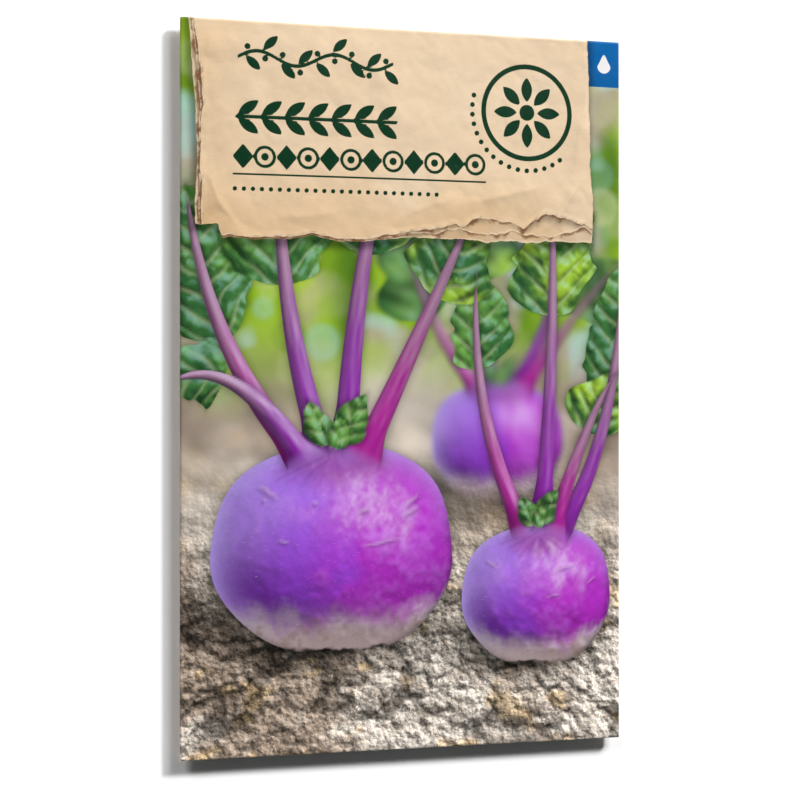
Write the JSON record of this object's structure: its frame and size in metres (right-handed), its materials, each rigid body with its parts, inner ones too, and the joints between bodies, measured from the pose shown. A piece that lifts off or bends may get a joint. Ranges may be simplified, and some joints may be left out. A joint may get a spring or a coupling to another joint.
{
  "type": "seed packet",
  "caption": "Flat folded paper seed packet, glued shut, with a back seam and end flaps and loose round seeds inside.",
  "frame": {"origin": "on the surface that the packet lies on, under the middle of its outline", "axes": "+Z out of the printed front, +Y towards the top of the print, +X to the right of the print"},
  "size_m": [0.09, 0.141, 0.004],
  "materials": {
    "printed_paper": "satin coated paper, printed in colour on the outside and white inside",
    "seed_coat": "matt dark brown seed coat"
  },
  "bodies": {
    "root": {"envelope": "printed_paper", "seeds": "seed_coat"}
  },
  "joints": []
}
